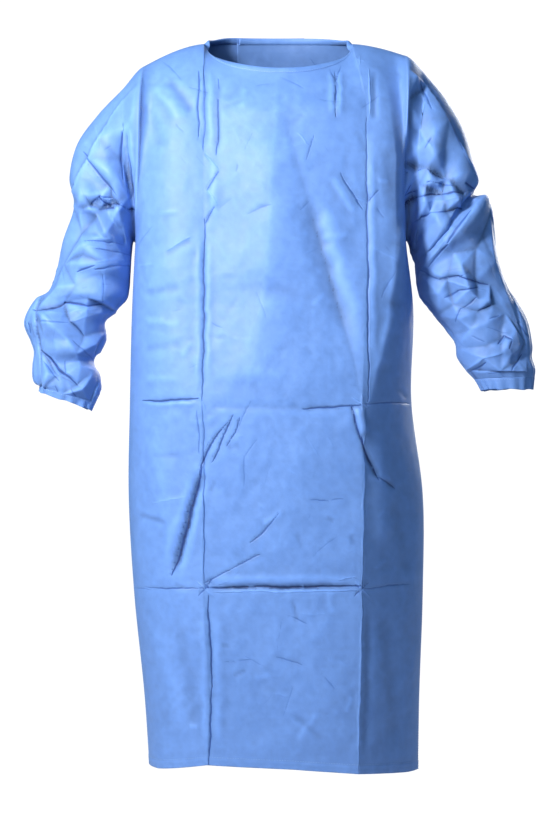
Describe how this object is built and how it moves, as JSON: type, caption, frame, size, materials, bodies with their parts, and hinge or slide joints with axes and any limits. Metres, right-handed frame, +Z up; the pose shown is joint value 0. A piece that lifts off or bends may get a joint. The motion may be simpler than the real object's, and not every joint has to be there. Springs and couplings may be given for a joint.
{
  "type": "surgical gown",
  "caption": "Long-sleeved surgical gown, filled out as worn: round bound neck, set-in sleeves, gathered cuffs, overlapped back with tab and ties.",
  "frame": {"origin": "middle of the neck, level with the two neck points where the shoulders carry the gown", "axes": "+Z up, the front faces -Y, +X to the right of someone who looks at the front"},
  "size_m": [0.844, 0.3355, 1.2261],
  "materials": {
    "cloth": "soft sheen, fine point-bonded nonwoven",
    "binding": "folded nonwoven tape",
    "tab": "short loop pile"
  },
  "bodies": {
    "root": {"front_panel_chest": "cloth", "front_panel_waist": "cloth", "front_panel_skirt": "cloth", "back_panel_left_chest": "cloth", "back_panel_left_waist": "cloth", "back_panel_left_skirt": "cloth", "back_panel_right_chest": "cloth", "back_panel_right_waist": "cloth", "back_panel_right_skirt": "cloth", "sleeve_left_cap": "cloth", "sleeve_left_upper": "cloth", "sleeve_left_elbow": "cloth", "sleeve_left_lower": "cloth", "sleeve_right_cap": "cloth", "sleeve_right_upper": "cloth", "sleeve_right_elbow": "cloth", "sleeve_right_lower": "cloth", "cuff_left": "cloth", "cuff_right": "cloth", "neck_binding": "binding", "tie_left": "binding", "tie_right": "binding", "tie_tail_left": "binding", "tie_tail_right": "binding", "tie_knot": "binding", "neck_tab": "tab"}
  },
  "joints": []
}
